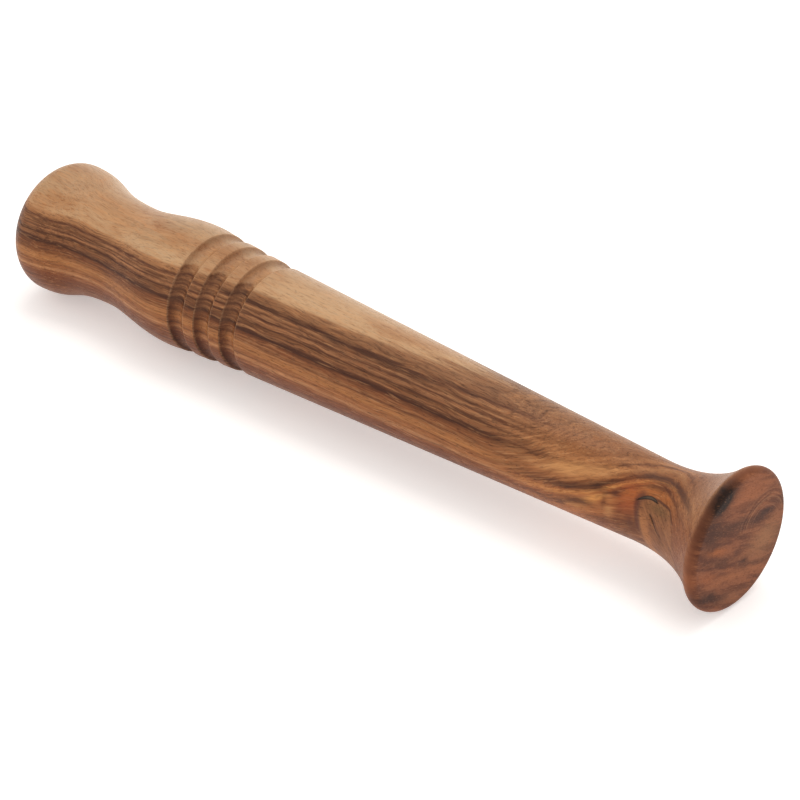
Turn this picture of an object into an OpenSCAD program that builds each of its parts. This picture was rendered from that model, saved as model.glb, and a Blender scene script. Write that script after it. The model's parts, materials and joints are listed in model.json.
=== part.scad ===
// Wooden bar muddler, turned on a lathe from one blank.
//
// The muddler lies on its side along X: the rounded pommel is at -X and the
// flat working face is at +X. Its lowest line, from the belly of the pommel to
// the rim of the head, rests on z = 0, and the origin is under its middle.
// Stations are measured along the turning axis from the pommel end, except the
// ones of the head, which are measured back from the working face.
// All sizes are in millimetres.

/* [Overall] */
// Length from the pommel end to the working face
length = 240; // [190:1:330]

/* [Pommel] */
// Diameter of the small flat at the pommel end
end_flat_d = 11; // [4:0.5:16]
// Largest diameter of the pommel
pommel_d = 37; // [31:0.5:46]
// Station of the largest diameter of the pommel
belly_at = 8.5; // [6:0.5:14]
// How slowly the pommel leaves its largest diameter
belly_ease = 10.5; // [6:0.5:13]

/* [Waist and shoulder] */
// Smallest diameter of the grip
waist_d = 29; // [24:0.1:31]
// Station of the smallest diameter
waist_at = 34; // [28:0.5:41]
// How slowly the grip comes down into the waist
waist_ease_in = 17.5; // [6:0.5:18]
// How slowly the grip leaves the waist
waist_ease_out = 6.5; // [4:0.5:8]
// Largest diameter of the shoulder
shoulder_d = 34.6; // [29:0.1:42]
// Station of the largest diameter of the shoulder
shoulder_at = 56.5; // [50:0.5:60]
// How slowly the grip swells into the shoulder
shoulder_ease = 9.5; // [4:0.5:10]

/* [Grip coves] */
// Number of coves cut round the grip
cove_count = 3; // [1:1:5]
// Station of the first cove, at its crest on the shoulder side
first_cove_at = 62.7; // [60:0.1:76]
// Diameter at that crest
ring_d = 33.7; // [29:0.1:41]
// Distance from one cove to the next
cove_pitch = 8.9; // [7:0.1:11]
// Width of a cove from crest to crest
cove_w = 5.4; // [4.5:0.1:7]
// Depth of a cove below its crests
cove_depth = 1.5; // [0.6:0.1:2]

/* [Shaft] */
// Diameter of the shaft where the coves end
shaft_d = 30.7; // [26:0.1:37.5]
// Diameter of the shaft where the neck begins
neck_d = 21.7; // [18:0.1:26]

/* [Head] */
// Diameter of the head
head_d = 38; // [31.5:0.5:46]
// Distance from the working face back to where the neck begins
neck_back = 29.5; // [24:0.5:36]
// Slope of the flare where it meets the rim, in degrees
flare_angle = 44; // [35:1:58]
// How slowly the neck leaves the line of the shaft
neck_ease = 4.5; // [3:0.5:9]
// How slowly the flare runs out into the rim
flare_ease = 12.4; // [6:0.1:14]
// Radius of the rounded rim
rim_round = 2; // [1.5:0.1:3.5]

/* [Hidden] */

// facets round the axis
$fn = 128;
// points on each curve of the outline
end_steps = 14;
grip_steps = 18;
fall_steps = 5;
cove_steps = 8;
flare_steps = 18;
back_steps = 5;
front_steps = 8;

// where the last cove ends and the straight shaft begins
shaft_at = first_cove_at + (cove_count - 1) * cove_pitch + cove_w;
// change of radius per millimetre along the crests of the coves
crest_slope = (shaft_d / 2 - ring_d / 2) / (shaft_at - first_cove_at);
// where the neck begins, from the pommel end
neck_at = length - neck_back;
// change of radius per millimetre along the shaft
shaft_slope = (neck_d / 2 - shaft_d / 2) / (neck_at - shaft_at);

// The lowest line touches the pommel's belly and the rim, so the turning axis
// leans a little when the two differ in diameter.
lean = asin((head_d - pommel_d) / 2 / (length - rim_round - belly_at));
axis_lift = pommel_d / 2 * cos(lean) - belly_at * sin(lean);
face_r = head_d / 2 - rim_round;
axis_back = (length * cos(lean) + (face_r - end_flat_d / 2) * sin(lean)) / 2;

// A point of the outline is [radius, station].

// point of a cubic curve at t
function cubic(a, b, c, d, t) =
    pow(1 - t, 3) * a + 3 * pow(1 - t, 2) * t * b
    + 3 * (1 - t) * t * t * c + pow(t, 3) * d;

// points of a cubic curve, without its first one
function curve(a, b, c, d, n) = [for (i = [1:n]) cubic(a, b, c, d, i / n)];

// radius of the crest line at a station
function crest_r(s) = ring_d / 2 + crest_slope * (s - first_cove_at);

// points of an arc that sinks by depth below the chord from a to b, without its first one
function hollow(a, b, depth, n) =
    let (
        chord = norm(b - a),
        along = (b - a) / chord,
        inward = [-along[1], along[0]],
        radius = (chord * chord / 4 + depth * depth) / (2 * depth),
        half = asin(chord / 2 / radius),
        middle = (a + b) / 2
    )
    [for (i = [1:n])
        let (angle = half * (2 * i / n - 1))
        middle + along * radius * sin(angle)
            + inward * radius * (cos(angle) - cos(half))];

// rounded pommel end, from its small flat to the belly
function pommel_end() =
    [for (i = [0:end_steps])
        let (angle = 90 * i / end_steps)
        [end_flat_d / 2 + (pommel_d - end_flat_d) / 2 * sin(angle), belly_at * (1 - cos(angle))]];

// belly, waist, shoulder and the fall to the first crest
function grip() =
    let (
        belly = [pommel_d / 2, belly_at],
        waist = [waist_d / 2, waist_at],
        shoulder = [shoulder_d / 2, shoulder_at],
        crest = [ring_d / 2, first_cove_at],
        fall = (first_cove_at - shoulder_at) / 2
    )
    concat(
        curve(belly, belly + [0, belly_ease], waist - [0, waist_ease_in], waist, grip_steps),
        curve(waist, waist + [0, waist_ease_out], shoulder - [0, shoulder_ease], shoulder, grip_steps),
        curve(shoulder, shoulder + [0, fall], crest - [crest_slope, 1] * fall / 2, crest, fall_steps)
    );

// the coves and the lands between them
function coves() =
    [for (k = [0:cove_count - 1])
        let (
            s1 = first_cove_at + k * cove_pitch,
            s2 = s1 + cove_w,
            a = [crest_r(s1), s1],
            b = [crest_r(s2), s2]
        )
        each concat(k > 0 ? [a] : [], hollow(a, b, cove_depth, cove_steps))];

// straight shaft, neck and flare, up to the rounded rim
function neck() =
    let (
        start = [neck_d / 2, neck_at],
        down = [shaft_slope, 1] / norm([shaft_slope, 1]),
        rise = [sin(flare_angle), cos(flare_angle)],
        stop = rim_point(90 + flare_angle)
    )
    concat([start], curve(start, start + down * neck_ease, stop - rise * flare_ease, stop, flare_steps));

// point of the rounded rim at an angle from the axis
function rim_point(angle) =
    [head_d / 2 - rim_round + rim_round * sin(angle), length - rim_round + rim_round * cos(angle)];

// rounded rim, from the flare over its widest point to the working face
function rim() =
    concat(
        [for (i = [1:back_steps]) rim_point(90 + flare_angle * (1 - i / back_steps))],
        [for (i = [1:front_steps]) rim_point(90 * (1 - i / front_steps))]
    );

// half outline of the muddler, closed along the axis
module outline() {
    polygon(concat(
        [[0, 0]],
        pommel_end(),
        grip(),
        coves(),
        neck(),
        rim(),
        [[0, length]]
    ));
}

// the whole muddler, one turned piece of wood
module muddler_body() {
    color("peru")
    translate([-axis_back, 0, axis_lift])
    rotate([0, 90 - lean, 0])
    rotate_extrude()
    outline();
}

muddler_body();
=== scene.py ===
# Wooden bar muddler lying on a white counter: one turned piece of oiled, figured wood.

import json
import math
from types import SimpleNamespace

import bmesh
import bpy
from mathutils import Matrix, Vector


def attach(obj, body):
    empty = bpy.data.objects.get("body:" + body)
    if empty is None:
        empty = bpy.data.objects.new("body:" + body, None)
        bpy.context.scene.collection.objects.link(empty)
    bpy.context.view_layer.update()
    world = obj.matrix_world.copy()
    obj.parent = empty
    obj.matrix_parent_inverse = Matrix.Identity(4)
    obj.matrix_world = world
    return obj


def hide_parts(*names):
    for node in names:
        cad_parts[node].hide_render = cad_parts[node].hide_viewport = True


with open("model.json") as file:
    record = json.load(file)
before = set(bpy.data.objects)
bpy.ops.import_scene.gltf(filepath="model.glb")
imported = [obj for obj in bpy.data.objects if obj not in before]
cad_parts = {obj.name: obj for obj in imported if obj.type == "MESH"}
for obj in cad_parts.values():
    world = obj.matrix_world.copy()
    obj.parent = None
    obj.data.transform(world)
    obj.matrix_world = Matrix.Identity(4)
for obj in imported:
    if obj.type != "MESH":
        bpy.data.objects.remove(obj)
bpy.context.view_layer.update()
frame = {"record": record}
mm = 0.001
print("frame loaded")


# lengths in millimetres; stations run along the turning axis from the pommel end
muddlerShape = {
    "length": 240.0, "endFlat": 11.0,
    "pommel": 37.0, "bellyAt": 8.5, "bellyEase": 10.5,
    "waist": 29.0, "waistAt": 34.0, "waistEaseIn": 17.5, "waistEaseOut": 6.5,
    "shoulder": 34.6, "shoulderAt": 56.5, "shoulderEase": 9.5,
    "coves": 3, "firstCoveAt": 62.7, "ring": 33.7,
    "covePitch": 8.9, "coveWidth": 5.4, "coveDepth": 1.5,
    "shaft": 30.7, "neck": 21.7, "neckBack": 29.5, "neckEase": 4.5,
    "head": 38.0, "flareAngle": 44.0, "flareEase": 12.4, "rimRound": 2.0,
    "turns": 208,        # steps round the axis
    "crestSoft": 0.2,    # how far the sharp crests are rubbed down
    "crestNear": 0.02,   # how close to a crest an edge has to be
    "smoothUnder": 32.0, # edges that turn by less than this look smooth, in degrees
    "underKnot": 0.87,   # share of the shaft after which its points stand closer
    # how many points each stretch of the outline has
    "points": {
        "endFlat": 3, "pommel": 18, "waistIn": 36, "waistOut": 30, "shoulder": 8, "land": 5, "cove": 18,
        "shaft": 46, "neck": 34, "flare": 64, "rimBack": 6, "rimFront": 12, "face": 7,
    },
}

# the knot in the neck: where it is, and what the wood does round it
knot = {
    "station": 221.0, "turn": 22.0,        # turn is measured from the front towards the top
    "sweep": 340.0, "lift": 10.5, "crowd": 0.6,
    "bodyAt": 222.0, "bodyLean": 0.35, "bodyDown": 3.5, "bodyLong": 6.2, "bodyTall": 7.6,
    "barkTop": 3.8, "barkAt": 219.2, "barkCurve": 0.11, "barkMid": 218.2, "barkHalf": 3.0, "barkThick": 0.52,
    "crackFrom": (219.8, 0.5), "crackAlong": (0.70, -0.714), "crackLength": 4.6, "crackWide": 0.2,
    "barkDeep": 0.35, "barkSoft": 1.3,
    "crackDeep": 0.35, "crackSoft": 1.5, "crackStart": 0.8, "crackEnd": 2.5,
    "sunkBetween": (205, 236), "sunkOut": 4,    # stations and height out of the axis where the wood may be sunk
    "figureFrom": (164.0, 196.0), "ragged": 8.0,    # stations over which the knot's figure begins, and its edge
    "drift": 1.2, "brushed": 1.9,                   # how far its layers stray
    "tiltFrom": (150.0, 196.0), "tiltBend": 30.0, "tiltReach": 49.0, "tiltRise": 0.42, "tiltPast": 0.3,
    "wobble": 0.35, "roam": 1.5,                    # how far its lines and patches stray
    "arch": (8.3, 0.012, 0.0004), "innerArch": (6.7, 0.05),    # height of each arch, then how it falls away
    "redAt": ((212.8, 1.6), (3.4, 3.8)), "oliveAt": ((222.4, 2.2), (3.6, 1.6)),    # middle and reach
    "grainSlant": (0.70, 0.71),                     # the cut branch's own grain
}


def cubic(a, b, c, d, steps):
    points = []
    for i in range(1, steps + 1):
        t = i / steps
        share = ((1 - t) ** 3, 3 * (1 - t) ** 2 * t, 3 * (1 - t) * t * t, t ** 3)
        points.append(tuple(sum(w * p[j] for w, p in zip(share, (a, b, c, d))) for j in (0, 1)))
    return points


def straight(a, b, steps):
    return [tuple(a[j] + (b[j] - a[j]) * i / steps for j in (0, 1)) for i in range(1, steps + 1)]


def hollow(a, b, depth, steps):
    chord = math.dist(a, b)
    along = ((b[0] - a[0]) / chord, (b[1] - a[1]) / chord)
    inward = (along[1], -along[0])
    radius = (chord ** 2 / 4 + depth ** 2) / (2 * depth)
    half = math.asin(chord / 2 / radius)
    middle = ((a[0] + b[0]) / 2, (a[1] + b[1]) / 2)
    points = []
    for i in range(1, steps + 1):
        angle = half * (2 * i / steps - 1)
        side, sink = radius * math.sin(angle), radius * (math.cos(angle) - math.cos(half))
        points.append(tuple(middle[j] + along[j] * side + inward[j] * sink for j in (0, 1)))
    return points


def muddlerOutline(m):
    # points are (station, radius); also gives the stations and radii of the sharp crests
    belly, waist = (m["bellyAt"], m["pommel"] / 2), (m["waistAt"], m["waist"] / 2)
    shoulder, firstCrest = (m["shoulderAt"], m["shoulder"] / 2), (m["firstCoveAt"], m["ring"] / 2)
    shaftAt = m["firstCoveAt"] + (m["coves"] - 1) * m["covePitch"] + m["coveWidth"]
    crestSlope = (m["shaft"] - m["ring"]) / 2 / (shaftAt - m["firstCoveAt"])
    neckAt = m["length"] - m["neckBack"]
    shaftSlope = (m["neck"] - m["shaft"]) / 2 / (neckAt - shaftAt)

    points = m["points"]
    outline = [(0, 0)] + straight((0, 0), (0, m["endFlat"] / 2), points["endFlat"])
    for i in range(1, points["pommel"] + 1):  # rounded pommel end
        angle = math.radians(90 * i / points["pommel"])
        outline.append((m["bellyAt"] * (1 - math.cos(angle)),
                        m["endFlat"] / 2 + (m["pommel"] - m["endFlat"]) / 2 * math.sin(angle)))
    outline += cubic(belly, (belly[0] + m["bellyEase"], belly[1]),
                     (waist[0] - m["waistEaseIn"], waist[1]), waist, points["waistIn"])
    outline += cubic(waist, (waist[0] + m["waistEaseOut"], waist[1]),
                     (shoulder[0] - m["shoulderEase"], shoulder[1]), shoulder, points["waistOut"])
    fall = (firstCrest[0] - shoulder[0]) / 2
    outline += cubic(shoulder, (shoulder[0] + fall, shoulder[1]),
                     (firstCrest[0] - fall, firstCrest[1] - crestSlope * fall), firstCrest, points["shoulder"])

    crests = []
    for k in range(m["coves"]):
        left = m["firstCoveAt"] + k * m["covePitch"]
        right = left + m["coveWidth"]
        a = (left, m["ring"] / 2 + crestSlope * (left - m["firstCoveAt"]))
        b = (right, m["ring"] / 2 + crestSlope * (right - m["firstCoveAt"]))
        if k > 0:
            outline += straight(outline[-1], a, points["land"])
        outline += hollow(a, b, m["coveDepth"], points["cove"])
        crests += [a, b]

    neckStart = (neckAt, m["neck"] / 2)
    knotStart = tuple(outline[-1][j] + (neckStart[j] - outline[-1][j]) * m["underKnot"] for j in (0, 1))
    outline += straight(outline[-1], knotStart, points["shaft"])
    outline += straight(knotStart, neckStart, points["neck"])
    down = (1 / math.hypot(1, shaftSlope), shaftSlope / math.hypot(1, shaftSlope))
    flare = math.radians(m["flareAngle"])
    centre = (m["length"] - m["rimRound"], m["head"] / 2 - m["rimRound"])

    def rimPoint(angle):
        return (centre[0] + m["rimRound"] * math.cos(angle), centre[1] + m["rimRound"] * math.sin(angle))

    flareEnd = rimPoint(math.pi / 2 + flare)
    leave, meet = m["neckEase"], m["flareEase"]
    outline += cubic(neckStart, (neckStart[0] + down[0] * leave, neckStart[1] + down[1] * leave),
                     (flareEnd[0] - math.cos(flare) * meet, flareEnd[1] - math.sin(flare) * meet),
                     flareEnd, points["flare"])
    back, front = points["rimBack"], points["rimFront"]
    outline += [rimPoint(math.pi / 2 + flare * (1 - i / back)) for i in range(1, back + 1)]
    outline += [rimPoint(math.pi / 2 * (1 - i / front)) for i in range(1, front + 1)]
    outline += straight(outline[-1], (m["length"], 0), points["face"])
    return outline, crests


# the turning axis ends in the middle of the working face, which the frame gives
faceMount = frame["record"]["mounts"][0]
axisWay = Vector(faceMount["axis"]).normalized()
axisUp = Vector((-axisWay.z, 0, axisWay.x))
axisStart = Vector(faceMount["pos_m"]) - axisWay * muddlerShape["length"] * mm
axisLean = math.atan2(axisWay.z, axisWay.x)


def placeAt(station, radius):
    return axisStart + axisWay * station * mm + axisUp * radius * mm


def turnBody(m):
    # draws half the outline as a wire, then spins it round the axis
    outline, crests = muddlerOutline(m)
    bpy.ops.object.select_all(action='DESELECT')
    bpy.ops.mesh.primitive_plane_add(size=0.5 * mm, location=placeAt(*outline[0]))
    body = bpy.context.object
    body.name = "turned_body"
    bpy.ops.object.transform_apply(location=True, rotation=True, scale=True)
    bpy.ops.object.mode_set(mode='EDIT')
    bpy.ops.mesh.select_all(action='SELECT')
    bpy.ops.mesh.merge(type='CENTER')
    for before, after in zip(outline[:-1], outline[1:]):
        step = placeAt(*after) - placeAt(*before)
        bpy.ops.mesh.extrude_region_move(TRANSFORM_OT_translate={"value": step})
    bpy.ops.mesh.select_all(action='SELECT')
    bpy.ops.mesh.spin(steps=m["turns"], angle=2 * math.pi, center=axisStart, axis=axisWay)
    bpy.ops.mesh.select_all(action='SELECT')
    bpy.ops.mesh.remove_doubles(threshold=0.002 * mm)
    bpy.ops.mesh.normals_make_consistent(inside=False)

    # rub the crests of the coves down a little
    bpy.ops.mesh.select_mode(type='EDGE')
    bpy.ops.mesh.select_all(action='DESELECT')
    mesh = bmesh.from_edit_mesh(body.data)
    for edge in mesh.edges:
        ends = [bodyPlace(v.co) for v in edge.verts]
        edge.select = any(all(abs(end[j] - crest[j]) < m["crestNear"] for end in ends for j in (0, 1))
                          for crest in crests)
    mesh.select_flush_mode()
    bmesh.update_edit_mesh(body.data)
    bpy.ops.mesh.bevel(offset=m["crestSoft"] * mm, segments=3, affect='EDGES')
    bpy.ops.object.mode_set(mode='OBJECT')
    return body


def bodyPlace(point):
    # station and radius of a point
    away = point - axisStart
    station = away.dot(axisWay)
    return station / mm, (away - axisWay * station).length / mm


def knotPlace(point):
    # station, height beside the knot's middle and height out of the axis, as the wood's figure uses them
    away = (point - axisStart) / mm
    across, up = away.y, away.dot(axisUp)
    turn = math.radians(knot["turn"])
    return (away.dot(axisWay), across * math.sin(turn) + up * math.cos(turn),
            -across * math.cos(turn) + up * math.sin(turn))


def soften(value):
    value = max(0.0, min(1.0, value))
    return value * value * (3 - 2 * value)


def barkDepth(station, beside):
    line = knot["barkTop"] - knot["barkCurve"] * (station - knot["barkAt"]) ** 2
    end = 1 - ((station - knot["barkMid"]) / knot["barkHalf"]) ** 2
    if end <= 0:
        return 0.0
    return soften(knot["barkSoft"] - abs(beside - line) / (knot["barkThick"] * math.sqrt(end)))


def crackDepth(station, beside):
    away = (station - knot["crackFrom"][0], beside - knot["crackFrom"][1])
    way = knot["crackAlong"]
    along, across = away[0] * way[0] + away[1] * way[1], away[0] * -way[1] + away[1] * way[0]
    taper = soften(along / knot["crackStart"]) * soften((knot["crackLength"] - along) / knot["crackEnd"])
    return taper * soften(knot["crackSoft"] - abs(across) / knot["crackWide"])


def sinkInto(body, name, depth, amount):
    # lowers the surface by depth where the amount, from 0 to 1, is not nothing
    group = body.vertex_groups.new(name=name)
    first, last = knot["sunkBetween"]
    for vertex in body.data.vertices:
        station, beside, out = knotPlace(vertex.co)
        if out > knot["sunkOut"] and first < station < last:
            weight = amount(station, beside)
            if weight > 0.01:
                group.add([vertex.index], weight, 'REPLACE')
    bpy.ops.object.modifier_add(type='DISPLACE')
    sink = body.modifiers[-1]
    sink.vertex_group = name
    sink.mid_level = 0
    sink.strength = -depth * mm
    bpy.ops.object.modifier_apply(modifier=sink.name)
    body.vertex_groups.remove(body.vertex_groups[name])


body = turnBody(muddlerShape)
sinkInto(body, "barkSeam", knot["barkDeep"], barkDepth)
sinkInto(body, "crack", knot["crackDeep"], crackDepth)
bpy.ops.object.shade_smooth_by_angle(angle=math.radians(muddlerShape["smoothUnder"]))
print("body turned:", len(body.data.vertices), "points")


# lengths are in millimetres, depths of colour run from 0 to 1, and colours are as they look, 0 to 255
woodLook = {
    # colour against height above the turning axis, in the handle and shaft
    "layers": [
        (-18.0, (126, 78, 48)), (-12.0, (122, 73, 42)), (-9.0, (107, 58, 25)), (-4.6, (110, 59, 26)),
        (-3.4, (126, 74, 38)), (-2.5, (160, 110, 70)), (-1.6, (142, 89, 48)), (-0.5, (134, 82, 43)),
        (0.6, (158, 104, 58)), (1.7, (150, 98, 56)), (2.8, (116, 70, 37)), (4.1, (126, 77, 44)),
        (4.9, (100, 58, 32)), (5.5, (66, 36, 22)), (6.1, (80, 47, 30)), (6.7, (130, 86, 56)),
        (7.4, (124, 82, 52)), (7.9, (84, 51, 33)), (8.4, (134, 90, 60)), (8.9, (150, 103, 69)),
        (9.3, (90, 55, 37)),
        (9.8, (144, 100, 68)), (10.2, (108, 70, 45)), (10.8, (150, 104, 70)),
        (11.4, (92, 56, 38)), (11.9, (152, 106, 70)), (12.9, (168, 122, 84)), (13.4, (188, 150, 112)),
        (14.2, (192, 156, 119)), (16.0, (180, 143, 106)), (18.0, (176, 141, 106)),
    ],
    # colour against the swept height round the knot and on the head
    "knotLayers": [
        (-27.0, (104, 60, 34)), (-19.0, (118, 68, 38)), (-15.0, (146, 88, 48)), (-12.0, (156, 94, 50)),
        (-10.0, (150, 92, 50)), (-8.8, (92, 50, 28)), (-7.5, (142, 84, 46)), (-6.0, (186, 124, 70)),
        (-5.2, (138, 82, 44)), (-4.2, (74, 40, 22)), (-3.2, (92, 52, 30)), (-2.0, (152, 98, 58)),
        (0.0, (184, 130, 84)), (1.4, (164, 110, 68)), (2.4, (110, 68, 40)), (4.0, (168, 114, 72)),
        (6.0, (138, 90, 54)), (8.0, (148, 100, 66)), (12.0, (150, 110, 80)),
    ],
    "layerSpan": (-18.0, 18.0), "knotLayerSpan": (-27.0, 12.0),
    "waistDip": (34.0, 15.0, 0.17),         # where the layers dip under the waist, how far along, and how much
    "slowWander": 0.45, "quickWander": 0.28, "feather": 0.42,    # how far the layers stray
    "farSide": 0.3,                         # how much lower the pale wood reaches behind
    "paleFrom": (12.8, 13.6),               # heights over which the pale wood on top begins
    "darkFrom": (2.0, 5.5), "darkTo": (13.0, 12.0),    # heights where the wide dark band begins and ends
    "shaftFrom": (62.0, 72.0),              # stations over which the shaft begins
    "shaftShade": ((11.2, 11.8), (13.6, 12.8), 0.65),  # browner wood under the pale wood there, and how much
    # a thin dark band that falls slowly along the shaft
    "shaftBand": {"height": 11.5, "at": 86.0, "fall": 0.012, "wide": (0.15, 0.85), "end": (172.0, 140.0),
                  "breaks": (0.34, 0.50), "depth": 0.85},
    "calmDepth": 0.78, "pastKnotDepth": 0.42,
    # warmer places in the pale wood: middle, reach, tilt in degrees and depth
    "waistWarm": ((30.0, -2.0), (15.0, 5.0), -8.0, 0.34), "shaftWarm": ((77.0, -3.0), (10.0, 7.0), 0.0, 0.42),
    "mottleDepth": 0.52, "fleckDepth": (0.18, 0.30), "backDepth": (0.16, 0.34),
    "faceFrom": (236.6, 238.4), "rimFrom": (236.8, 239.2), "flareFrom": (212.0, 222.0),
    "faceDepth": 0.97,
    "endGrainOilAndShade": (0.62, 0.54, 0.50, 1.0),    # how much oil darkens the cut ends of the fibres, with painted shade on the working face and the cove walls
    "coveShade": (0.50, 0.42, 0.37, 1.0),   # painted shade on the wall of each cove on the pommel's side, which faces the head
    # painted highlight on the crests of the coves
    "crestHighlightDepth": 0.20,
    # patches round the knot: middle, reach along and across, tilt in degrees, colour, depth
    "knotMarks": [
        ((195.0, 2.4), (6.0, 1.5), 16, (200, 142, 88), 0.92),
        ((203.2, -2.4), (3.6, 1.0), 30, (204, 138, 74), 0.95),
        ((208.0, -3.8), (1.8, 1.3), 50, (186, 130, 80), 0.65),
        ((201.0, 4.2), (4.0, 0.9), 22, (190, 134, 84), 0.75),
        ((198.0, -6.4), (4.0, 0.7), 8, (170, 116, 66), 0.60),
        ((208.5, -0.6), (1.6, 0.6), 25, (186, 122, 72), 0.55),
        ((197.5, -1.4), (5.6, 1.0), 17, (66, 34, 18), 0.92),
        ((203.7, 1.0), (2.2, 1.0), 24, (54, 30, 22), 0.95),
        ((209.6, 1.2), (1.7, 1.0), 20, (62, 34, 28), 0.90),
        ((206.6, -1.9), (1.0, 1.4), -20, (82, 40, 22), 0.85),
        ((211.2, -1.8), (0.8, 2.0), -35, (96, 46, 28), 0.55),
        ((214.4, -3.6), (1.2, 1.9), 10, (64, 36, 28), 0.78),
        ((198.5, -5.0), (6.0, 0.9), 8, (76, 40, 20), 0.85),
        ((204.0, -7.2), (3.6, 0.8), 12, (86, 46, 22), 0.65),
        ((208.8, 5.9), (3.2, 0.6), 24, (98, 54, 30), 0.60),
        ((198.0, 6.6), (4.0, 0.35), 20, (104, 62, 38), 0.55),
        ((203.0, 7.0), (4.0, 0.35), 22, (104, 62, 38), 0.55),
        ((208.5, 10.6), (5.0, 0.5), 2, (92, 64, 52), 0.60),
        ((216.0, 10.8), (11.0, 2.0), -3, (108, 64, 40), 0.90),
    ],
    # patches on the working face, by place across and up
    "faceMarks": [
        ((3.0, 13.0), (8.0, 3.6), -8, (190, 120, 77), 0.75),
        ((10.3, -4.2), (6.5, 4.4), 10, (180, 130, 90), 0.80),
        ((-10.0, 2.0), (4.6, 1.0), -28, (206, 124, 66), 0.75),
        ((-13.5, -4.0), (5.5, 1.3), -22, (180, 108, 64), 0.60),
        ((-4.5, -8.0), (8.0, 1.6), -12, (186, 120, 78), 0.70),
        ((7.0, -11.6), (6.0, 1.5), -12, (186, 120, 78), 0.60),
        ((-12.2, 7.8), (6.0, 4.8), -25, (76, 41, 26), 0.90),
        ((-3.0, 5.8), (7.5, 1.7), -14, (88, 54, 38), 0.75),
        ((9.0, 3.6), (6.5, 1.5), -3, (70, 42, 36), 0.90),
        ((6.0, 7.4), (7.0, 0.5), 8, (90, 56, 40), 0.65),
        ((7.0, 9.6), (7.0, 0.4), 6, (106, 66, 46), 0.50),
        ((2.0, -6.4), (1.7, 1.2), 0, (66, 36, 24), 0.85),
        ((-7.0, -2.2), (7.0, 1.4), -20, (88, 52, 34), 0.65),
        ((-12.0, -10.6), (8.0, 1.8), -27, (62, 36, 28), 0.90),
        ((-1.0, -15.4), (6.5, 1.8), -20, (176, 122, 88), 0.50),
        ((6.0, -9.4), (6.0, 0.45), -18, (92, 54, 36), 0.65),
        ((-7.4, 15.5), (5.2, 2.4), 28, (34, 18, 10), 1.6),
    ],
    "ringMiddle": (9.4, 0.0),    # middle of the fine rings on the working face
    # every noise: changes per millimetre along, across and up, then detail, roughness, shift and twist
    "noises": {
        "slow": ((0.016, 0.07, 0.07), 2, 0.5, 3.1),
        "quick": ((0.032, 0.4, 0.4), 2, 0.5, 7.7),
        "feather": ((0.09, 1.5, 1.5), 3, 0.6, 9.3),
        "drift": ((0.06, 0.15, 0.15), 2, 0.5, 12.4),
        "knotEdge": ((0.05, 0.3, 0.3), 2, 0.5, 1.9),
        "brushed": ((0.13, 0.8, 0.8), 3, 0.65, 15.0),
        "bandBreaks": ((0.05, 0.2, 0.2), 2, 0.6, 27.0),
        "patchy": ((0.10, 0.25, 0.25), 3, 0.6, 33.0),
        "mottle": ((0.035, 0.11, 0.16), 3, 0.6, 71.0),
        "flecks": ((0.22, 1.1, 1.3), 2, 0.6, 77.0, 0.5),
        "lines": ((0.010, 0.08, 1.6), 4, 0.65, 21.0),
        "strokes": ((0.11, 1.5, 2.3), 3, 0.6, 5.5),
        "pores": ((0.42, 5.2, 5.2), 1, 0.5, 40.0),
        "silk": ((0.16, 6.5, 6.5), 2, 0.6, 48.0),
        "wobble": ((0.30, 0.30, 0.30), 2, 0.5, 83.0),
        "roam": ((0.20, 0.45, 0.45), 3, 0.6, 87.0),
        "branch": ((0.12, 1.1, 0.3), 4, 0.65, 91.0),
        "face": ((0.1, 0.10, 0.55), 4, 0.6, 53.0, 0.3),
        "stray": ((0.1, 0.14, 0.3), 4, 0.6, 57.0),
        "rings": ((1.5, 1.0, 1.0), 2, 0.6, 59.0),
        "faceSpeck": ((0.5, 0.9, 3.2), 3, 0.65, 66.0),
    },
    # every colour that isn't in a list above
    "tints": {
        "shaftShade": (118, 79, 51), "shaftBand": (64, 37, 25), "knotPatch": (150, 96, 56),
        "calmLow": (134, 84, 57), "calmHigh": (158, 114, 84), "pastKnot": (112, 66, 40),
        "mottle": (158, 104, 60), "waistWarm": (164, 106, 58), "shaftWarm": (146, 98, 62),
        "fleck": (134, 82, 45), "back": (208, 184, 158), "darkLine": (66, 36, 22),
        "lightLine": (200, 144, 96), "darkStroke": (64, 36, 22), "lightStroke": (206, 152, 104),
        "pore": (58, 33, 22), "silk": (214, 162, 116), "redKnot": (164, 78, 42), "arch": (70, 42, 32),
        "innerArch": (84, 44, 28), "branchPale": (152, 100, 64), "branchDark": (112, 68, 44),
        "branchWedge": (172, 112, 68), "branchOlive": (100, 78, 48), "branchPore": (58, 34, 24),
        "branchSide": (70, 38, 36), "branchTop": (64, 36, 28), "barkEdge": (34, 28, 25),
        "barkMiddle": (80, 72, 63), "crack": (46, 28, 20), "facePale": (160, 101, 68),
        "faceDark": (114, 66, 44), "ringDark": (92, 54, 38), "ringPale": (196, 142, 102),
        # the cove wall colour is painted shade for the cove walls that face the head
        "speckDark": (70, 40, 26), "speckPale": (196, 140, 98), "coveWall": (122, 82, 58),
        "crest": (214, 166, 124),
    },
    # oil and wax, rubbed to a low sheen; the pores, strokes, cut ends, face and bark are duller
    "sheen": {
        "specular": 0.14, "coat": 0.08, "coatIor": 1.38, "coatRoughness": 0.32, "roughness": 0.40,
        "pores": 0.25, "strokes": 0.10, "cutEnds": 0.12, "face": 0.10, "bark": 0.3,
        "bump": 0.4, "bumpDeep": 0.1,
    },
}


def paint(red, green, blue):
    # a colour as it looks, 0 to 255, turned into light
    def light(value):
        value /= 255
        return value / 12.92 if value <= 0.04045 else ((value + 0.055) / 1.055) ** 2.4
    return (light(red), light(green), light(blue), 1.0)


def tint(name):
    return paint(*woodLook["tints"][name])


woodTree = None   # the node tree that the helpers below add to


def addNode(kind, **settings):
    made = woodTree.nodes.new(kind)
    for name, value in settings.items():
        setattr(made, name, value)
    return made


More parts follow.
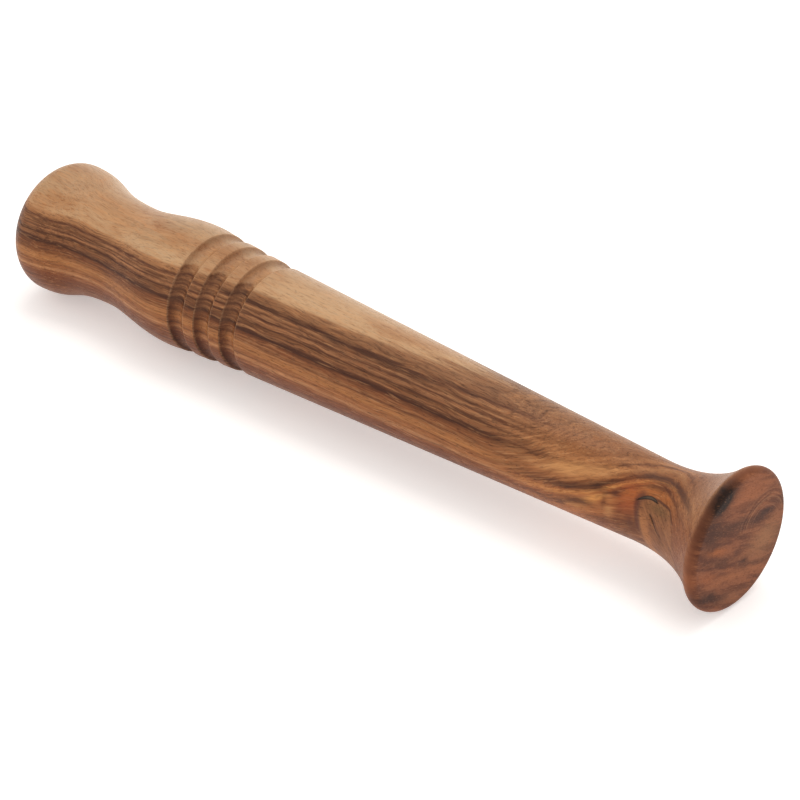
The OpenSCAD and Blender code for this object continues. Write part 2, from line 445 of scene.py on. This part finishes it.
def feed(socket, value):
    if isinstance(value, bpy.types.NodeSocket):
        woodTree.links.new(value, socket)
    else:
        socket.default_value = value


def calc(operation, *values, clamp=False):
    made = addNode('ShaderNodeMath', operation=operation, use_clamp=clamp)
    for socket, value in zip(made.inputs, values):
        feed(socket, value)
    return made.outputs[0]


def total(*values):
    result = values[0]
    for value in values[1:]:
        result = calc('ADD', result, value)
    return result


def times(*values):
    result = values[0]
    for value in values[1:]:
        result = calc('MULTIPLY', result, value)
    return result


def less(value, *others):
    for other in others:
        value = calc('SUBTRACT', value, other)
    return value


def between(value, low, high, lowTo=0.0, highTo=1.0):
    # smooth step from lowTo to highTo while the value goes from low to high
    made = addNode('ShaderNodeMapRange', interpolation_type='SMOOTHSTEP')
    settings = {"Value": value, "From Min": low, "From Max": high, "To Min": lowTo, "To Max": highTo}
    for name, number in settings.items():
        feed(made.inputs[name], number)
    return made.outputs[0]


def lineOf(away, thin, wide):
    # 1 on a line, 0 once further away than wide
    return between(calc('ABSOLUTE', away), thin, wide, 1.0, 0.0)


def spot(x, y, middle, reach, tilt=0.0):
    # a soft patch, 1 in the middle and near 0 well past its reach
    dx, dy = less(x, middle[0]), less(y, middle[1])
    c, s = math.cos(math.radians(tilt)), math.sin(math.radians(tilt))
    along = total(times(dx, c / reach[0]), times(dy, s / reach[0]))
    aside = total(times(dx, -s / reach[1]), times(dy, c / reach[1]))
    return calc('EXPONENT', times(total(times(along, along), times(aside, aside)), -1.0))


def gather(x, y, z):
    made = addNode('ShaderNodeCombineXYZ')
    for socket, value in zip(made.inputs, (x, y, z)):
        feed(socket, value)
    return made.outputs[0]


def noise(name, place):
    stretch, detail, rough, shift, *twist = woodLook["noises"][name]
    scaled = addNode('ShaderNodeVectorMath', operation='MULTIPLY_ADD')
    feed(scaled.inputs[0], place)
    feed(scaled.inputs[1], stretch)
    feed(scaled.inputs[2], (shift, shift * 1.7, shift * 0.6))
    made = addNode('ShaderNodeTexNoise')
    feed(made.inputs["Vector"], scaled.outputs[0])
    settings = {"Scale": 1.0, "Detail": detail, "Roughness": rough, "Distortion": twist[0] if twist else 0.0}
    for setting, number in settings.items():
        feed(made.inputs[setting], number)
    return made.outputs["Fac"]


def sway(amount, texture):
    # the texture round its middle, as a plus or minus amount
    return times(less(texture, 0.5), 2 * amount)


def colourBands(value, low, high, bands):
    share = calc('DIVIDE', calc('SUBTRACT', value, low), high - low, clamp=True)
    made = addNode('ShaderNodeValToRGB')
    ramp = made.color_ramp
    ramp.interpolation = 'EASE'
    while len(ramp.elements) < len(bands):
        ramp.elements.new(0.5)
    for element, (at, colour) in zip(ramp.elements, bands):
        element.position = (at - low) / (high - low)
    for element, (at, colour) in zip(ramp.elements, bands):
        element.color = paint(*colour)
    feed(made.inputs[0], share)
    return made.outputs[0]


def mixColour(amount, under, over, way='MIX'):
    made = addNode('ShaderNodeMix', data_type='RGBA', blend_type=way)
    feed(made.inputs[0], amount)
    feed(made.inputs[6], under)
    feed(made.inputs[7], over)
    return made.outputs[2]


def woodPlaces():
    # where a point of the wood is, in millimetres along and about the turning axis
    coords = addNode('ShaderNodeTexCoord')
    centred = addNode('ShaderNodeMapping', vector_type='TEXTURE')
    feed(centred.inputs["Vector"], coords.outputs["Object"])
    feed(centred.inputs["Location"], axisStart)
    feed(centred.inputs["Rotation"], (0, -axisLean, 0))
    feed(centred.inputs["Scale"], (mm, mm, mm))
    parts = addNode('ShaderNodeSeparateXYZ')
    feed(parts.inputs[0], centred.outputs[0])
    facing = addNode('ShaderNodeSeparateXYZ')
    feed(facing.inputs[0], coords.outputs["Normal"])

    w = SimpleNamespace(place=centred.outputs[0], endOn=calc('ABSOLUTE', facing.outputs[0]))
    w.station, w.across, w.up = parts.outputs
    turn = math.radians(knot["turn"])
    w.beside = total(times(w.across, math.sin(turn)), times(w.up, math.cos(turn)))
    w.out = total(times(w.across, -math.cos(turn)), times(w.up, math.sin(turn)))
    w.front = between(w.out, 2.0, 6.0)
    w.past = less(w.station, knot["station"])
    return w


def growthPlaces(w):
    # growth layers lie nearly flat in the blank and wander a little
    slow = sway(woodLook["slowWander"], noise("slow", w.place))
    quick = sway(woodLook["quickWander"], noise("quick", w.place))
    dipAt, dipLong, dipDeep = woodLook["waistDip"]
    fromWaist = times(less(w.station, dipAt), 1 / dipLong)
    dip = total(1.0, times(calc('EXPONENT', times(fromWaist, fromWaist, -1.0)), dipDeep))
    behind = times(calc('MAXIMUM', w.across, 0.0), woodLook["farSide"])
    level = total(times(w.up, dip), behind, slow, quick)
    w.height = total(level, sway(woodLook["feather"], noise("feather", w.place)))

    # round the knot they sweep up and crowd together, and the fibres tilt with them
    turn = math.radians(knot["turn"])
    bell = times(calc('EXPONENT', times(w.past, w.past, -1 / knot["sweep"])), between(w.out, -9.0, 5.0))
    swept = calc('DIVIDE', less(w.beside, times(bell, knot["lift"])), less(1.0, times(bell, knot["crowd"])))
    drift = sway(knot["drift"], noise("drift", w.place))
    roundedPast = calc('SQRT', total(times(w.past, w.past), knot["tiltBend"]))
    fibreTilt = total(times(less(roundedPast, knot["tiltReach"]), knot["tiltRise"]),
                      times(calc('MAXIMUM', w.past, 0.0), knot["tiltPast"]))
    fibreTilt = times(fibreTilt, between(w.station, *knot["tiltFrom"]), between(w.out, -8.0, 4.0))
    w.grain = gather(w.station, total(w.across, times(fibreTilt, math.sin(turn)), drift),
                     total(level, times(fibreTilt, math.cos(turn)), drift))
    w.swept = total(swept, drift, sway(knot["brushed"], noise("brushed", w.grain)))

    raggedEdge = sway(knot["ragged"], noise("knotEdge", w.place))
    w.nearKnot = between(total(w.station, raggedEdge), *knot["figureFrom"])
    awayFromKnot = less(1.0, w.nearKnot)
    w.paleWood = times(between(w.height, *woodLook["paleFrom"]), awayFromKnot)
    w.darkBand = times(between(w.height, *woodLook["darkFrom"]), between(w.height, *woodLook["darkTo"]),
                       awayFromKnot)

    w.strokes = noise("strokes", w.grain)
    w.poreNoise = noise("pores", w.grain)
    w.pores = between(w.poreNoise, 0.59, 0.69)
    w.silk = noise("silk", w.grain)
    w.patchy = noise("patchy", w.grain)


def layeredWood(w):
    layers = colourBands(w.height, *woodLook["layerSpan"], woodLook["layers"])
    onShaft = between(w.station, *woodLook["shaftFrom"])
    start, end, depth = woodLook["shaftShade"]
    underPale = times(onShaft, between(w.height, *start), between(w.height, *end), depth)
    layers = mixColour(underPale, layers, tint("shaftShade"))

    band = woodLook["shaftBand"]
    fromBand = total(w.height, times(less(w.station, band["at"]), band["fall"]), -band["height"])
    bandInk = times(lineOf(fromBand, *band["wide"]), onShaft, between(w.station, *band["end"]),
                    between(noise("bandBreaks", w.place), *band["breaks"]))
    layers = mixColour(times(bandInk, band["depth"]), layers, tint("shaftBand"))

    knotLayers = colourBands(w.swept, *woodLook["knotLayerSpan"], woodLook["knotLayers"])
    knotLayers = mixColour(between(w.patchy, 0.42, 0.62, 0.0, 0.40), knotLayers, tint("knotPatch"))
    colour = mixColour(w.nearKnot, layers, knotLayers)

    # past the knot the wood is calmer, and browner at first
    calm = times(between(w.past, 3.0, 10.0), between(w.out, 0.0, 5.0))
    calmWood = mixColour(between(w.beside, 1.0, 7.0), tint("calmLow"), tint("calmHigh"))
    colour = mixColour(times(calm, woodLook["calmDepth"]), colour, calmWood)
    browner = times(between(w.past, 2.0, 5.0), between(w.past, 12.0, 8.0), between(w.out, 0.0, 5.0),
                    woodLook["pastKnotDepth"])
    return mixColour(browner, colour, tint("pastKnot"))


def mottledPaleWood(w, colour):
    # the pale wood is mottled with warmer brown and flecked
    warm = between(noise("mottle", w.place), 0.44, 0.66)
    colour = mixColour(times(w.paleWood, warm, woodLook["mottleDepth"]), colour, tint("mottle"))
    for name in ("waistWarm", "shaftWarm"):
        middle, reach, tilt, depth = woodLook[name]
        patch = times(w.paleWood, spot(w.station, w.across, middle, reach, tilt), depth)
        colour = mixColour(patch, colour, tint(name))
    flecks = between(noise("flecks", w.place), 0.54, 0.66)
    plain, onWarm = woodLook["fleckDepth"]
    colour = mixColour(times(w.paleWood, flecks, total(plain, times(warm, onWarm))), colour, tint("fleck"))

    # it is paler still on the far side
    plain, onPale = woodLook["backDepth"]
    backPale = times(between(w.across, -2.0, 12.0), total(plain, times(w.paleWood, onPale)))
    return mixColour(backPale, colour, tint("back"))


def fibres(w, colour):
    # thin dark and light lines between the layers
    lines = noise("lines", w.grain)
    lineDepth = total(0.42, times(w.darkBand, 0.20), times(w.paleWood, -0.30), times(w.nearKnot, -0.10))
    colour = mixColour(times(between(lines, 0.50, 0.68), lineDepth), colour, tint("darkLine"))
    colour = mixColour(between(lines, 0.47, 0.30, 0.0, 0.26), colour, tint("lightLine"))

    # short strokes of darker fibre, densest in the dark band
    strokeDepth = total(0.36, times(w.darkBand, 0.22), times(w.paleWood, -0.22))
    colour = mixColour(times(between(w.strokes, 0.52, 0.68), strokeDepth), colour, tint("darkStroke"))
    colour = mixColour(between(w.strokes, 0.47, 0.28, 0.0, 0.28), colour, tint("lightStroke"))

    # pores, very fine dark scratches along the grain
    colour = mixColour(times(w.pores, total(0.50, times(w.paleWood, -0.22))), colour, tint("pore"))
    return mixColour(between(w.silk, 0.35, 0.75, 0.0, 0.35), colour, tint("silk"), 'SOFT_LIGHT')


def knotFigure(w, colour):
    # patches and dark arches of wood that grew round the branch
    w.wobble = sway(knot["wobble"], noise("wobble", w.place))
    w.here = total(w.beside, w.wobble)
    roam = sway(knot["roam"], noise("roam", w.grain))
    for middle, reach, tilt, ink, depth in woodLook["knotMarks"]:
        patch = spot(total(w.station, roam), total(w.beside, times(roam, 0.5)), middle, reach, tilt)
        patch = times(patch, w.front, between(w.strokes, 0.62, 0.40, 0.55, 1.0), depth)
        colour = mixColour(patch, colour, paint(*ink))
    redness = times(spot(w.station, w.here, *knot["redAt"]), w.front,
                    between(w.patchy, 0.30, 0.55, 0.45, 1.0))
    colour = mixColour(times(redness, 0.60), colour, tint("redKnot"))

    pastCubed = calc('POWER', calc('MAXIMUM', w.past, 0.0), 3.0)
    height, fall, steeper = knot["arch"]
    arch = total(w.here, -height, times(w.past, w.past, fall), times(pastCubed, steeper))
    archInk = times(lineOf(arch, 0.30, 1.30), between(w.past, -13.0, -5.0), between(w.past, 15.0, 8.0),
                    between(w.strokes, 0.62, 0.42, 0.5, 1.0), w.front)
    colour = mixColour(times(archInk, 0.70), colour, tint("arch"))
    height, fall = knot["innerArch"]
    innerArch = total(w.here, -height, times(w.past, w.past, fall))
    innerInk = times(lineOf(innerArch, 0.12, 0.55), between(w.past, -5.0, -1.0),
                     between(w.past, 12.0, 8.0), w.front)
    return mixColour(times(innerInk, 0.55), colour, tint("innerArch"))


def cutBranch(w, colour):
    # the branch itself, cut off flush: a rounded square with slanting grain and dark edges
    leaning = total(less(w.station, knot["bodyAt"]), times(w.here, knot["bodyLean"]))
    sideways = calc('POWER', calc('ABSOLUTE', times(leaning, 1 / knot["bodyLong"])), 4.0)
    upright = calc('POWER', calc('ABSOLUTE', times(total(w.here, knot["bodyDown"]), 1 / knot["bodyTall"])), 4.0)
    edge = calc('POWER', total(sideways, upright), 0.25)
    branch = times(between(edge, 1.06, 0.92), w.front)
    slantCos, slantSin = knot["grainSlant"]
    slantAlong = total(times(w.past, slantCos), times(w.here, -slantSin))
    slantAcross = total(times(w.past, slantSin), times(w.here, slantCos))
    branchGrain = noise("branch", gather(slantAlong, slantAcross, w.out))
    branchWood = mixColour(between(branchGrain, 0.35, 0.68), tint("branchPale"), tint("branchDark"))
    wedge = times(between(leaning, -5.6, -4.8), between(leaning, -1.6, -3.6), between(w.here, 1.0, -2.0))
    branchWood = mixColour(times(wedge, 0.7), branchWood, tint("branchWedge"))
    olive = spot(w.station, w.here, *knot["oliveAt"])
    branchWood = mixColour(times(olive, 0.6), branchWood, tint("branchOlive"))
    colour = mixColour(times(branch, 0.85), colour, branchWood)
    colour = mixColour(times(branch, between(w.poreNoise, 0.56, 0.68), 0.45), colour, tint("branchPore"))

    fromEdge = less(edge, 1.0)
    side = times(lineOf(fromEdge, 0.03, 0.20), between(leaning, -2.5, -4.5),
                 between(w.here, -8.0, -3.0), w.front)
    colour = mixColour(times(side, 0.60), colour, tint("branchSide"))
    top = times(lineOf(fromEdge, 0.015, 0.06), between(leaning, -2.0, 0.5), between(w.here, 0.5, 2.0), w.front)
    return mixColour(times(top, 0.7), colour, tint("branchTop"))


def barkAndCrack(w, colour):
    barkFrom = less(w.station, knot["barkAt"])
    barkAway = calc('ABSOLUTE', total(w.beside, -knot["barkTop"], times(barkFrom, barkFrom, knot["barkCurve"])))
    barkShare = times(less(w.station, knot["barkMid"]), 1 / knot["barkHalf"])
    barkEnds = calc('SQRT', calc('MAXIMUM', less(1.0, times(barkShare, barkShare)), 0.0))
    inBark = less(times(barkEnds, knot["barkThick"]), barkAway)
    w.bark = times(between(inBark, -0.12, 0.16), w.front)
    barkWood = mixColour(between(inBark, 0.10, 0.42), tint("barkEdge"), tint("barkMiddle"))
    colour = mixColour(times(w.bark, 0.9), colour, barkWood)

    fromCrack = (less(w.station, knot["crackFrom"][0]), less(w.beside, knot["crackFrom"][1]))
    way = knot["crackAlong"]
    along = total(times(fromCrack[0], way[0]), times(fromCrack[1], way[1]))
    aside = total(times(fromCrack[0], -way[1]), times(fromCrack[1], way[0]), times(w.wobble, 0.5))
    crackInk = times(lineOf(aside, 0.10, 0.34), between(along, 0.0, 0.6), between(along, 11.0, 3.4), w.front)
    return mixColour(times(crackInk, 0.8), colour, tint("crack"))


def workingFace(w, colour):
    # the working face is cut across the fibres: soft patches and fine rings in place of lines
    w.onHead = between(w.station, *woodLook["faceFrom"])
    facePlace = gather(w.station, w.out, w.beside)
    flatOnly = between(w.endOn, 0.45, 0.98, 0.12, 1.0)
    streak = less(between(noise("face", facePlace), 0.38, 0.62), 0.5)
    streak = total(0.5, times(streak, total(flatOnly, 0.15)))
    face = mixColour(streak, tint("facePale"), tint("faceDark"))
    stray = sway(1.8, noise("stray", facePlace))
    for middle, reach, tilt, ink, depth in woodLook["faceMarks"]:
        patch = times(spot(total(w.across, times(stray, 0.8)), total(w.up, stray), middle, reach, tilt), depth)
        face = mixColour(patch, face, paint(*ink))

    ringX, ringY = less(w.across, woodLook["ringMiddle"][0]), less(w.up, woodLook["ringMiddle"][1])
    radius = total(calc('SQRT', total(times(ringX, ringX), times(ringY, ringY))), times(stray, 0.35))
    rings = noise("rings", gather(radius, 0.0, 0.0))
    ringShow = times(between(radius, 3.5, 5.5), between(radius, 12.5, 8.5), between(w.up, 0.0, 4.0))
    face = mixColour(times(between(rings, 0.52, 0.64), ringShow, 0.42), face, tint("ringDark"))
    face = mixColour(times(between(rings, 0.46, 0.36), ringShow, 0.35), face, tint("ringPale"))

    speck = noise("faceSpeck", facePlace)
    face = mixColour(times(between(speck, 0.52, 0.70, 0.0, 0.45), flatOnly), face, tint("speckDark"))
    face = mixColour(times(between(speck, 0.46, 0.30, 0.0, 0.30), flatOnly), face, tint("speckPale"))
    return mixColour(times(w.onHead, woodLook["faceDepth"]), colour, face)


def oiledEndsPaintedShadeAndHighlight(w, colour):
    # cut ends of the fibres drink more oil, on the rim most and on the flare least; on the working face and the
    # cove walls this darkening is also painted shade
    onFlare = between(w.station, *woodLook["flareFrom"])
    cut = times(between(w.endOn, 0.30, 0.95), less(1.0, times(onFlare, 0.75)))
    w.cutEnds = calc('MAXIMUM', cut, between(w.station, *woodLook["rimFrom"]))
    endGrainShadeDepth = total(0.95, times(w.paleWood, -0.45), times(w.darkBand, -0.35))
    colour = mixColour(times(w.cutEnds, endGrainShadeDepth), colour, woodLook["endGrainOilAndShade"], 'MULTIPLY')

    m = muddlerShape
    inRow = calc('MODULO', less(w.station, m["firstCoveAt"]), m["covePitch"])
    rowEnd = m["firstCoveAt"] + m["coves"] * m["covePitch"]
    inRowOnly = times(between(w.station, m["firstCoveAt"] - 0.5, m["firstCoveAt"] + 0.1),
                      between(w.station, rowEnd - 1.0, rowEnd - 1.2))
    # painted shade: the wall of each cove on the pommel's side, facing the head, is darkened as if it got less
    # light
    paintedWallShade = times(between(inRow, -0.4, 0.15), between(inRow, 3.6, 0.5), inRowOnly)
    colour = mixColour(times(paintedWallShade, w.darkBand, 0.40), colour, tint("coveWall"))
    wallShadeDepth = total(1.0, times(w.darkBand, -0.55), times(w.paleWood, -0.52))
    colour = mixColour(times(paintedWallShade, wallShadeDepth), colour, woodLook["coveShade"], 'MULTIPLY')

    # painted highlight: the crests of the coves are painted a little lighter
    half = m["coveWidth"] / 2
    fromCrest = less(calc('ABSOLUTE', less(inRow, half)), half)
    crest = times(lineOf(fromCrest, 0.05, 0.40), inRowOnly, between(w.strokes, 0.66, 0.40, 0.3, 1.0))
    return mixColour(times(crest, woodLook["crestHighlightDepth"]), colour, tint("crest"))


def makeWood():
    global woodTree
    wood = bpy.data.materials.new("oiledWood")
    wood.use_nodes = True
    woodTree = wood.node_tree
    shader = woodTree.nodes["Principled BSDF"]

    w = woodPlaces()
    growthPlaces(w)
    colour = layeredWood(w)
    for treatment in (mottledPaleWood, fibres, knotFigure, cutBranch, barkAndCrack, workingFace,
                      oiledEndsPaintedShadeAndHighlight):
        colour = treatment(w, colour)
    feed(shader.inputs["Base Color"], colour)

    sheen = woodLook["sheen"]
    feed(shader.inputs["Specular IOR Level"], sheen["specular"])
    feed(shader.inputs["Coat Weight"], sheen["coat"])
    feed(shader.inputs["Coat IOR"], sheen["coatIor"])
    feed(shader.inputs["Coat Roughness"], sheen["coatRoughness"])
    rough = total(sheen["roughness"], times(w.pores, sheen["pores"]), sway(sheen["strokes"], w.strokes),
                  times(w.cutEnds, sheen["cutEnds"]), times(w.onHead, sheen["face"]),
                  times(w.bark, sheen["bark"]))
    feed(shader.inputs["Roughness"], rough)
    relief = total(times(w.pores, -1.0), times(w.silk, 0.4), times(w.strokes, 0.5))
    bump = addNode('ShaderNodeBump')
    feed(bump.inputs["Strength"], sheen["bump"])
    feed(bump.inputs["Distance"], sheen["bumpDeep"] * mm)
    feed(bump.inputs["Height"], times(relief, less(1.0, times(w.onHead, 0.7))))
    feed(shader.inputs["Normal"], bump.outputs[0])
    return wood


body.data.materials.append(makeWood())
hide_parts("muddler_body")
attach(body, "root")
print("wood made")


studio = {
    "counter": 6.0, "counterColour": (0.92, 0.885, 0.862, 1.0), "counterRoughness": 0.9, "counterShine": 0.0,
    "counterGlow": 0.36,             # the counter is lit a little from below
    "around": (1.0, 0.995, 0.985, 1.0), "aroundPower": 0.86,
    "lampAt": (-0.1, 0.45, 1.5), "lampAim": (0, 0, 0), "lampSize": (1.3, 1.0), "lampPower": 9,
    "lampColour": (1.0, 0.99, 0.97),
}

bpy.ops.object.select_all(action='DESELECT')
bpy.ops.mesh.primitive_plane_add(size=studio["counter"], location=(0, 0, 0))
counter = bpy.context.object
counter.name = "counter"
counterLook = bpy.data.materials.new("whiteCounter")
counterLook.use_nodes = True
counterShader = counterLook.node_tree.nodes["Principled BSDF"]
counterShader.inputs["Base Color"].default_value = studio["counterColour"]
counterShader.inputs["Roughness"].default_value = studio["counterRoughness"]
counterShader.inputs["Specular IOR Level"].default_value = studio["counterShine"]
counterShader.inputs["Emission Color"].default_value = (1, 1, 1, 1)
counterShader.inputs["Emission Strength"].default_value = studio["counterGlow"]
counter.data.materials.append(counterLook)

world = bpy.data.worlds.new("studioAir")
world.use_nodes = True
world.node_tree.nodes["Background"].inputs["Color"].default_value = studio["around"]
world.node_tree.nodes["Background"].inputs["Strength"].default_value = studio["aroundPower"]
bpy.context.scene.world = world

# one wide soft lamp overhead, a little behind the muddler
bpy.ops.object.light_add(type='AREA', location=studio["lampAt"])
lamp = bpy.context.object
lamp.name = "overhead"
lamp.data.shape = 'RECTANGLE'
lamp.data.size, lamp.data.size_y = studio["lampSize"]
lamp.data.energy = studio["lampPower"]
lamp.data.color = studio["lampColour"]
lampWay = Vector(studio["lampAim"]) - Vector(studio["lampAt"])
lamp.rotation_euler = lampWay.to_track_quat('-Z', 'Y').to_euler()

camera = {
    "turn": 41.98, "rise": 32.12, "away": 0.9, "aboutHeight": 0.02,    # where it stands
    "aimTurn": 41.375, "aimRise": 32.726, "lens": 155.73,              # where it looks
}
turn, rise = math.radians(camera["turn"]), math.radians(camera["rise"])
eye = Vector((math.sin(turn) * math.cos(rise), -math.cos(turn) * math.cos(rise), math.sin(rise)))
bpy.ops.object.camera_add(location=eye * camera["away"] + Vector((0, 0, camera["aboutHeight"])),
                          rotation=(math.radians(90 - camera["aimRise"]), 0, math.radians(camera["aimTurn"])))
bpy.context.object.data.lens = camera["lens"]
bpy.context.scene.camera = bpy.context.object
bpy.context.scene.view_settings.view_transform = 'Standard'
print("light and camera set")
